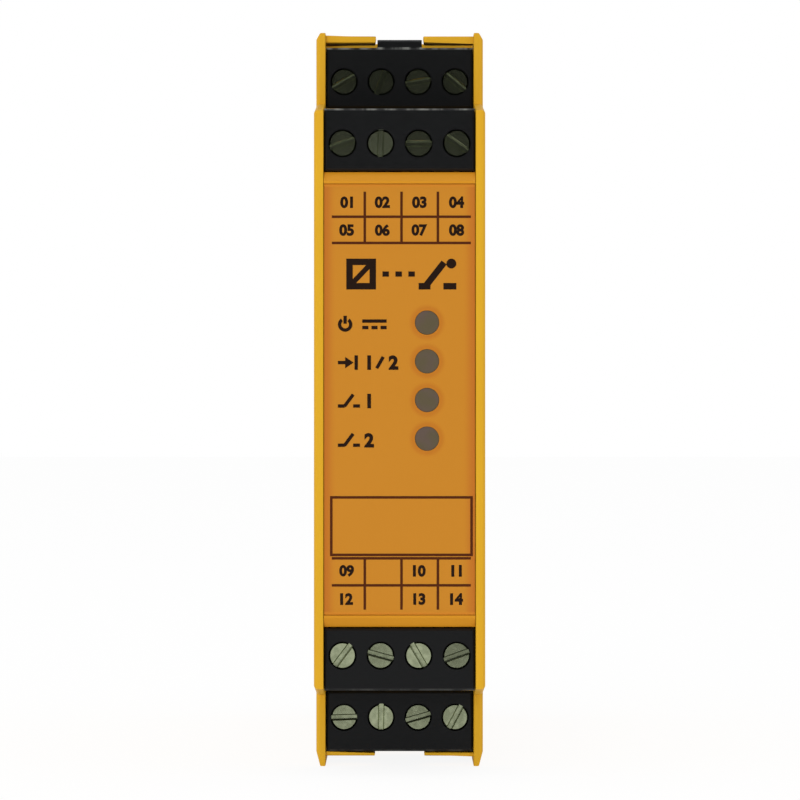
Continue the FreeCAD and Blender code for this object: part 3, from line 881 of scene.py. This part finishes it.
keptFinishes = {
    "label_plate": labelFinish, "light_guides": lensGrey, "status_leds": diodeResin,
    "display_board": boardGreen, "main_board": boardGreen, "capacitor": capacitorCan,
}
for tier in tierNames:
    keptFinishes["header_" + tier] = headerBlack
    keptFinishes["contacts_" + tier] = tinnedContact
    keptFinishes["pins_" + tier] = tinnedContact
    for index in range(poleCount):
        keptFinishes["cage_%s_%d" % (tier, index + 1)] = cageZinc
for nodeName, finish in keptFinishes.items():
    if nodes[nodeName].material_slots:
        nodes[nodeName].material_slots[0].material = finish
    else:
        nodes[nodeName].data.materials.append(finish)
print("finishes set on", len(keptFinishes), "nodes")


# Floor, light and camera

stageSettings = {
    "floorSize": 6.0,          # metres
    # share of the floor that glows: as light on the object, and as the camera sees it
    "floorGlow": 0.34, "floorSeen": 0.86, "floorLevel": 1.05,
    # in polished parts the floor is nearly black from this far in front, in metres
    "floorEnd": 0.4, "floorFade": 0.2, "floorDark": 0.97,
    # the studio's level as light, in polished parts, and in their view of its front
    "diffuseLevel": 0.67, "glossLevel": 0.8, "frontDim": 0.015,
    "frontFade": (0.2, 0.6), "horizonFade": (-0.01, 0.02),
    "cameraDistance": 0.555, "lens": 190.3, "sensor": 36, "shiftX": 0.0005, "shiftY": -0.0006,
}


def floorFinish():
    # a glowing sheet whose far front end is dark where polished parts mirror it
    s = stageSettings
    finish = Finish("paleFloor")
    path = finish.node("ShaderNodeLightPath").socket.node.outputs
    seen = Wire(finish, path["Is Camera Ray"])
    x, y, z = finish.axes(finish.place())
    dark = Wire(finish, path["Is Glossy Ray"]) * (0 - y).step(s["floorEnd"], s["floorEnd"] + s["floorFade"])
    glow = finish.node("ShaderNodeEmission", values={"Color": (1, 1, 1, 1), "Strength": s["floorLevel"]})
    black = finish.node("ShaderNodeEmission", values={"Color": (0, 0, 0, 1), "Strength": 0.0})
    finish.set(Base_Color=(0.86, 0.86, 0.86, 1), Roughness=0.9, Specular_IOR_Level=0.0)
    share = seen * (s["floorSeen"] - s["floorGlow"]) + s["floorGlow"]
    matt = Wire(finish, finish.shader.outputs[0])
    mixed = finish.node("ShaderNodeMixShader", values={0: share, 1: matt, 2: glow})
    mixed = finish.node("ShaderNodeMixShader", values={0: dark * s["floorDark"], 1: mixed, 2: black})
    output = finish.tree.nodes["Material Output"]
    finish.tree.links.new(mixed.socket, output.inputs["Surface"])
    return finish.material


def makeFloor():
    bottom = cadBox[0][2]
    half = stageSettings["floorSize"] / 2
    corners = [(-half, -half), (half, -half), (half, half), (-half, half)]
    mesh = bpy.data.meshes.new("floor")
    mesh.from_pydata([(x, y, bottom) for x, y in corners], [], [(0, 1, 2, 3)])
    mesh.materials.append(floorFinish())
    floor = linkObject("floor", mesh)


def makeStudio():
    # white to the camera, and darker in front where polished parts mirror it
    s = stageSettings
    world = bpy.data.worlds.new("studio")
    bpy.context.scene.world = world
    world.use_nodes = True
    w = Graph(world.node_tree)
    path = w.node("ShaderNodeLightPath").socket.node.outputs
    seen = Wire(w, path["Is Camera Ray"]).highest(Wire(w, path["Is Transmission Ray"]))
    glossy = Wire(w, path["Is Glossy Ray"])
    x, y, z = w.axes(w.node("ShaderNodeTexCoord", out="Generated"))
    front = (0 - y).step(*s["frontFade"]) * z.step(*s["horizonFade"])
    gloss = front * (s["frontDim"] - s["glossLevel"]) + s["glossLevel"]
    level = seen + (1 - seen) * (glossy * gloss + (1 - glossy) * s["diffuseLevel"])
    background = world.node_tree.nodes["Background"]
    background.inputs["Color"].default_value = (1, 1, 1, 1)
    world.node_tree.links.new(level.socket, background.inputs["Strength"])


# name, place and target in metres, power in watts, size, and whether polished parts mirror it
lamps = [
    ("keyLamp", (-0.5, -1.2, 1.3), (0, -0.055, 0), 1.2, 1.2, True),
    ("frontLamp", (-0.35, -1.35, 0.02), (0, -0.055, -0.02), 6.8, 0.5, False),
    ("topLamp", (0, -0.3, 1.4), (0, -0.055, 0), 1.5, 0.5, True),
]


def addLamp(name, place, target, power, size, mirrored):
    light = bpy.data.lights.new(name, "AREA")
    light.energy = power
    light.shape = "SQUARE"
    light.size = size
    lamp = bpy.data.objects.new(name, light)
    bpy.context.scene.collection.objects.link(lamp)
    lamp.location = place
    lamp.visible_glossy = mirrored
    lamp.rotation_euler = (Vector(target) - Vector(place)).to_track_quat("-Z", "Y").to_euler()


def makeCamera():
    s = stageSettings
    data = bpy.data.cameras.new("camera")
    data.lens = s["lens"]
    data.sensor_width = s["sensor"]
    data.shift_x = s["shiftX"]
    data.shift_y = s["shiftY"]
    data.clip_start = 0.01
    data.clip_end = 50
    camera = bpy.data.objects.new("camera", data)
    bpy.context.scene.collection.objects.link(camera)
    camera.location = (0, cadBox[0][1] - s["cameraDistance"], 0)
    camera.rotation_euler = (math.pi / 2, 0, 0)
    bpy.context.scene.camera = camera


makeFloor()
makeStudio()
for row in lamps:
    addLamp(*row)
makeCamera()
bpy.context.scene.view_settings.view_transform = "Standard"
print("stage set")
